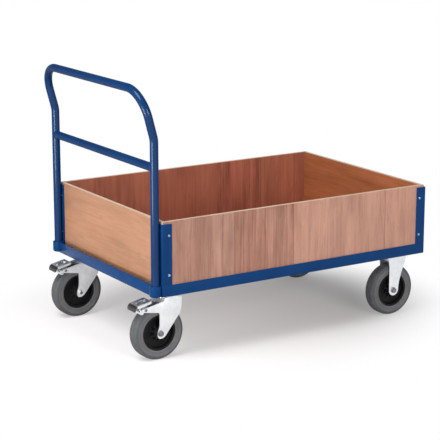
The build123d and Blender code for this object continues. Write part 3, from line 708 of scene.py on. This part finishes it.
def build_pedal(name, pin):
    spot = at(*pin)
    pedal = bmesh.new()
    corners = ((0.0, -tread_half_w, 2.5), (tread_length, -tread_half_w, 7.0), (tread_length, tread_half_w, 7.0),
               (0.0, tread_half_w, 2.5))
    tread = plate(corners, sheet_t, (tread_slot,))
    for line, angle in reversed(tread_bends):
        folded(tread, (1, 0, 0), line, angle, tread_bend_r, sheet_t)
    # faces past lip_from take the dark lip steel, painted shade on the turned-down lip
    for face in tread.faces:
        face.material_index = int(all(corner.co.x > lip_from for corner in face.verts))
    slope = radians(tread_slope)
    lie = Matrix(((-cos(slope), 0, -sin(slope), tread_front[0]), (0, -1, 0, 0),
                  (-sin(slope), 0, cos(slope), tread_front[1]), (0, 0, 0, 1)))
    joined(pedal, eased(tread, tread_ease), spot @ lie @ Matrix.Translation((0, 0, -sheet_t / 2)))
    for face_y in strut_faces:
        joined(pedal, eased(plate(strut, sheet_t, (strut_hole,)), sheet_ease),
               spot @ Matrix.Translation((0, face_y, 0)) @ standing)
    for face_y in skirt_faces:
        joined(pedal, eased(plate(skirt, sheet_t), tread_ease), spot @ Matrix.Translation((0, face_y, 0)) @ standing)
    joined(pedal, turned(shoe, pin_steps), spot @ Matrix.Translation((shoe_spot[0], 0, shoe_spot[1])))
    finished(f"slotted_pedal_{name}", pedal, f"brake_pedal_{name}", (zinc, lip_shade_steel))


# fixed castors

leg = (
    (25.0, 28.0, 12.0), (40.0, 78.0, 14.0), (52.0, 104.0, 12.0), (57.0, 126.0, 8.0), (57.0, 146.0, 0.0),
    (-31.0, 146.0, 0.0), (-29.0, 132.0, 8.0), (-22.0, 104.0, 14.0), (-21.0, -21.0, 20.8), (21.0, -21.0, 20.8),
)
leg_faces = (31.0, -28.0)
leg_hole = (0.0, 0.0, axle_hole_r, 0.0)
leg_bead_r = 0.0016
leg_bead_reach = (-0.029, 0.055)
leg_bead_off = 0.6


def build_fixed(side):
    name = f"front_{side}"
    axle = middle(f"tyre_{name}")
    over = middle(f"fixed_fork_{name}")
    fork = bmesh.new()
    joined(fork, eased(plate(castor_plate, plate_t, bolt_holes), plate_ease), at(over.x, over.y, plate_z))
    for face_y in leg_faces:
        joined(fork, eased(plate(leg, sheet_t, (leg_hole,)), sheet_ease),
               at(*axle) @ Matrix.Translation((0, face_y, 0)) @ standing)
    beads = []
    z = plate_z - leg_bead_off * mm
    for way in (-1, 1):
        for out in (cheek_out + leg_bead_off, cheek_out - sheet_t - leg_bead_off):
            y = axle.y + way * out * mm
            beads.append(straight(*((axle.x + reach, y, z) for reach in leg_bead_reach)))
    joined(fork, weld_beads(beads, leg_bead_r), Matrix())
    finished(f"flared_fork_{name}", fork, f"fixed_fork_{name}", (zinc,))


# angle-steel frame with eased edges, push bar, welds and wall screws

frame_steel = ["end_rail_front", "end_rail_rear", "castor_beam_rear", "castor_beam_front", "middle_rail_1",
               "middle_rail_2"]
for side, _ in sides:
    frame_steel += [f"post_rear_{side}", f"post_front_{side}", f"side_rail_{side}"]
steel_ease = 0.0009
steel_merge = 0.00001
flat_angle = 1.0


def build_frame_steel(node):
    piece = bmesh.new()
    piece.from_mesh(nodes[node].data)
    bmesh.ops.remove_doubles(piece, verts=piece.verts, dist=steel_merge)
    bmesh.ops.dissolve_limit(piece, angle_limit=radians(flat_angle), verts=piece.verts[:], edges=piece.edges[:])
    eased(piece, steel_ease)
    finished(f"rolled_{node}", piece, node, (blue,))


socket_r = 22.0
socket_bore_r = 15.1
socket_h = 40.0
socket_floor = 4.0
socket = (
    (socket_bore_r, socket_floor, 0.0), (socket_bore_r, socket_h, 0.0), (socket_r, socket_h, 3.0),
    (socket_r, 0.0, 7.0), (0.0, 0.0, 0.0), (0.0, socket_floor, 0.0),
)


def build_socket(side):
    foot_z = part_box(f"push_bar_socket_{side}")[0][2]
    centre = middle(f"push_bar_socket_{side}")
    cup = bmesh.new()
    joined(cup, turned(socket), at(centre.x, centre.y, foot_z) @ upright)
    finished(f"rounded_socket_{side}", cup, f"push_bar_socket_{side}", (blue,))


tube_r = 0.015
tube_wall = 0.002
tube_sides = 48
lean = radians(15.0)
knee_r = 0.09
knee_steps = 10
bend_r = 0.1
bend_steps = 48


def drawn(part, ring):
    """Draws a ring of edges out by one step, and gives the new ring."""
    new = bmesh.ops.extrude_edge_only(part, edges=ring)["geom"]
    spots = {spot for spot in new if isinstance(spot, bmesh.types.BMVert)}
    return [edge for edge in new if isinstance(edge, bmesh.types.BMEdge) and spots.issuperset(edge.verts)]


def spots_of(ring):
    return list({spot for edge in ring for spot in edge.verts})


def drawn_along(part, ring, way):
    """A straight length of tube."""
    ring = drawn(part, ring)
    bmesh.ops.translate(part, vec=way, verts=spots_of(ring))
    return ring


def drawn_round(part, ring, centre, axis, angle, steps):
    """A bent length of tube."""
    turn = Matrix.Rotation(angle / steps, 3, axis)
    for _ in range(steps):
        ring = drawn(part, ring)
        bmesh.ops.rotate(part, cent=centre, matrix=turn, verts=spots_of(ring))
    return ring


def build_push_bar():
    low, high = (Vector(corner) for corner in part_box("push_bar"))
    leg_x, leg_y, foot_z = high.x - tube_r, high.y - tube_r, low.z
    bar_x, bar_z = low.x + tube_r, high.z - tube_r
    up, over = Vector((-sin(lean), 0.0, cos(lean))), Vector((0.0, 1.0, 0.0))
    knee_z = bar_z - (leg_x - bar_x) / tan(lean)
    knee_from = knee_z - knee_r * tan(lean / 2)
    slope = (bar_z - knee_z) / cos(lean) - knee_r * tan(lean / 2) - bend_r
    half_bar = leg_y - bend_r
    right_bend, left_bend = (Vector((bar_x, y, bar_z)) - up * bend_r for y in (-half_bar, half_bar))
    tube = bmesh.new()
    foot = Matrix.Translation((leg_x, -leg_y, foot_z))
    for radius in (tube_r, tube_r - tube_wall):
        bmesh.ops.create_circle(tube, segments=tube_sides, radius=radius, matrix=foot)
    first = tube.edges[:]
    ring = drawn_along(tube, first, (0.0, 0.0, knee_from - foot_z))
    ring = drawn_round(tube, ring, (leg_x - knee_r, -leg_y, knee_from), over, -lean, knee_steps)
    ring = drawn_along(tube, ring, up * slope)
    ring = drawn_round(tube, ring, right_bend, up.cross(over), pi / 2, bend_steps)
    ring = drawn_along(tube, ring, over * (2 * half_bar))
    ring = drawn_round(tube, ring, left_bend, up.cross(over), pi / 2, bend_steps)
    ring = drawn_along(tube, ring, -up * slope)
    ring = drawn_round(tube, ring, (leg_x - knee_r, leg_y, knee_from), over, lean, knee_steps)
    last = drawn_along(tube, ring, (0.0, 0.0, foot_z - knee_from))
    for end in (first, last):
        bmesh.ops.bridge_loops(tube, edges=end)
    bmesh.ops.recalc_face_normals(tube, faces=tube.faces)
    finished("bent_push_bar", tube, "push_bar", (shaded_tube_blue,))


frame_bead_r = 0.0021
saddle_points = 36
socket_from = 0.258
socket_to = 0.286


def build_frame_welds():
    cross = middle("push_bar_cross_tube")
    rail_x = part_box("end_rail_rear")[0][0]
    paths = []
    for side, way in sides:
        foot = middle(f"push_bar_socket_{side}")
        saddle = []
        for number in range(saddle_points):
            turn = 2 * pi * number / saddle_points
            saddle.append((cross.x + tube_r * cos(turn), foot.y - way * tube_r * abs(sin(turn)),
                           cross.z + tube_r * sin(turn)))
        paths.append((saddle, True))
        seam_y = foot.y - way * sqrt((socket_r * mm) ** 2 - (rail_x - foot.x) ** 2)
        paths.append(straight((rail_x, seam_y, socket_from), (rail_x, seam_y, socket_to)))
    placed("push_bar_welds", weld_beads(paths, frame_bead_r), (shaded_tube_blue,), "frame")


wall_screw = (
    (0.0, 1.4, 0.0), (1.9, 1.6, 0.0), (2.2, 2.9, 0.3), (3.5, 2.7, 0.7), (5.0, 0.9, 0.7), (5.0, 0.0, 0.0),
    (2.8, 0.0, 0.0), (2.8, -15.0, 0.0), (0.0, -17.0, 0.0),
)
screw_steps = 28
screw_in = 0.028
screw_heights = (0.327, 0.470)


def build_wall_screws():
    screws = bmesh.new()
    for side, way in sides:
        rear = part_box(f"post_rear_{side}")
        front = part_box(f"post_front_{side}")
        face_y = way * max(abs(front[0][1]), abs(front[1][1]))
        turn = Matrix.Rotation(0.0 if way > 0 else pi, 4, "Z")
        for z in screw_heights:
            for x in (rear[0][0] + screw_in, front[1][0] - screw_in):
                joined(screws, turned(wall_screw, screw_steps), at(x, face_y, z) @ turn)
            joined(screws, turned(wall_screw, screw_steps),
                   at(front[1][0], face_y - way * screw_in, z) @ Matrix.Rotation(-pi / 2, 4, "Z"))
    finished("wall_screw_heads", screws, "panel_screws", (screw_zinc,))


for side, outward in sides:
    for end in ("front", "rear"):
        build_wheel(f"{end}_{side}")
        build_axle(f"{end}_{side}", outward)
    build_swivel(side)
    build_fixed(side)
    build_socket(side)
for node in frame_steel:
    build_frame_steel(node)
build_push_bar()
build_frame_welds()
build_wall_screws()


# studio: floor, light and camera

floor_half = 60.0
floor_paint = (0.62, 0.6, 0.6)
# painted light on the floor: a glow for camera, glossy and transmission rays that brings the lit floor to white and
# lightens the shadow, more towards -X than +X
floor_painted_light = (0.39, 0.18)
floor_painted_light_range = (-0.4, 0.5)
floor_middle = (-0.08, 0.06, 0.0)
floor_reach = (0.94, 0.76, 1.0)
floor_white = (0.6, 1.2)
sky_rise = (0.07, 0.2)
sky_strength = (1.0, 0.3)


def studio_floor():
    """A floor that takes the shadow below the trolley and fades to plain white around it."""
    mesh = bmesh.new()
    bmesh.ops.create_grid(mesh, x_segments=1, y_segments=1, size=floor_half)
    data = bpy.data.meshes.new("studio_floor")
    mesh.to_mesh(data)
    mesh.free()
    floor = bpy.data.objects.new("studio_floor", data)
    bpy.context.scene.collection.objects.link(floor)
    material = bpy.data.materials.new("studio_floor")
    material.use_nodes = True
    tree = material.node_tree
    tree.nodes.clear()
    output = tree.nodes.new("ShaderNodeOutputMaterial")
    paint = tree.nodes.new("ShaderNodeBsdfDiffuse")
    paint.inputs["Color"].default_value = (*floor_paint, 1.0)
    white = tree.nodes.new("ShaderNodeEmission")
    path = tree.nodes.new("ShaderNodeLightPath")
    seen = math(tree, "MAXIMUM", path.outputs["Is Camera Ray"], path.outputs["Is Glossy Ray"])
    seen = math(tree, "MAXIMUM", seen, path.outputs["Is Transmission Ray"])
    place = tree.nodes.new("ShaderNodeTexCoord").outputs["Object"]
    along = tree.nodes.new("ShaderNodeSeparateXYZ")
    tree.links.new(place, along.inputs["Vector"])
    # painted light: the floor's glow lightens its shadow, more at -X than at +X
    painted_light = tree.nodes.new("ShaderNodeEmission")
    painted_light_here = remap(tree, along.outputs["X"], *floor_painted_light_range, *floor_painted_light)
    tree.links.new(math(tree, "MULTIPLY", seen, painted_light_here), painted_light.inputs["Strength"])
    near = tree.nodes.new("ShaderNodeAddShader")
    tree.links.new(paint.outputs[0], near.inputs[0])
    tree.links.new(painted_light.outputs[0], near.inputs[1])
    shares = stretched(
        tree, place, [1.0 / reach for reach in floor_reach],
        [-centre / reach for centre, reach in zip(floor_middle, floor_reach)],
    )
    outward = tree.nodes.new("ShaderNodeVectorMath")
    outward.operation = "LENGTH"
    tree.links.new(shares, outward.inputs[0])
    far = remap(tree, outward.outputs["Value"], *floor_white, 0.0, 1.0, "SMOOTHERSTEP")
    whole = tree.nodes.new("ShaderNodeMixShader")
    tree.links.new(math(tree, "MULTIPLY", far, seen), whole.inputs[0])
    tree.links.new(near.outputs[0], whole.inputs[1])
    tree.links.new(white.outputs[0], whole.inputs[2])
    tree.links.new(whole.outputs[0], output.inputs["Surface"])
    data.materials.append(material)


def studio_sky():
    """A sky that is white at the horizon and grey above."""
    world = bpy.data.worlds.new("studio_sky")
    bpy.context.scene.world = world
    world.use_nodes = True
    tree = world.node_tree
    background = tree.nodes["Background"]
    way = tree.nodes.new("ShaderNodeSeparateXYZ")
    tree.links.new(tree.nodes.new("ShaderNodeTexCoord").outputs["Generated"], way.inputs["Vector"])
    background.inputs["Color"].default_value = (1.0, 1.0, 1.0, 1.0)
    tree.links.new(remap(tree, way.outputs["Z"], *sky_rise, *sky_strength), background.inputs["Strength"])


def soft_box(name, place, target, width, height, power):
    """A rectangular lamp that points at its target."""
    lamp = bpy.data.lights.new(name, "AREA")
    lamp.shape = "RECTANGLE"
    lamp.size = width
    lamp.size_y = height
    lamp.energy = power
    box = bpy.data.objects.new(name, lamp)
    box.location = place
    box.rotation_mode = "QUATERNION"
    box.rotation_quaternion = (Vector(target) - Vector(place)).to_track_quat("-Z", "Y")
    bpy.context.scene.collection.objects.link(box)


studio_floor()
studio_sky()
soft_box("overhead", (-2.3, -0.9, 3.5), (0.0, 0.0, 0.3), 2.0, 2.0, 114.0)
soft_box("left_key", (-2.6, -0.55, 0.36), (-0.4, -0.25, 0.42), 0.9, 0.62, 27.0)
soft_box("front_fill", (-0.2, -4.1, 1.6), (0.1, 0.0, 0.3), 2.0, 1.2, 70.0)

focal_px = 1592.15
picture_px = 440.0
sensor_mm = 36.0
azimuth = radians(-32.125)
elevation = radians(13.569)
look_at = Vector((0.0023, 0.0980, 0.3575))
distance = 6.2276
toward = Vector((sin(azimuth) * cos(elevation), -cos(azimuth) * cos(elevation), sin(elevation)))
lens = bpy.data.cameras.new("camera")
lens.sensor_width = sensor_mm
lens.lens = focal_px * sensor_mm / picture_px
lens.clip_start = 0.05
lens.clip_end = 200.0
camera = bpy.data.objects.new("camera", lens)
camera.location = look_at + toward * distance
camera.rotation_mode = "QUATERNION"
camera.rotation_quaternion = (-toward).to_track_quat("-Z", "Y")
bpy.context.scene.collection.objects.link(camera)
bpy.context.scene.camera = camera
bpy.context.scene.view_settings.view_transform = "Standard"
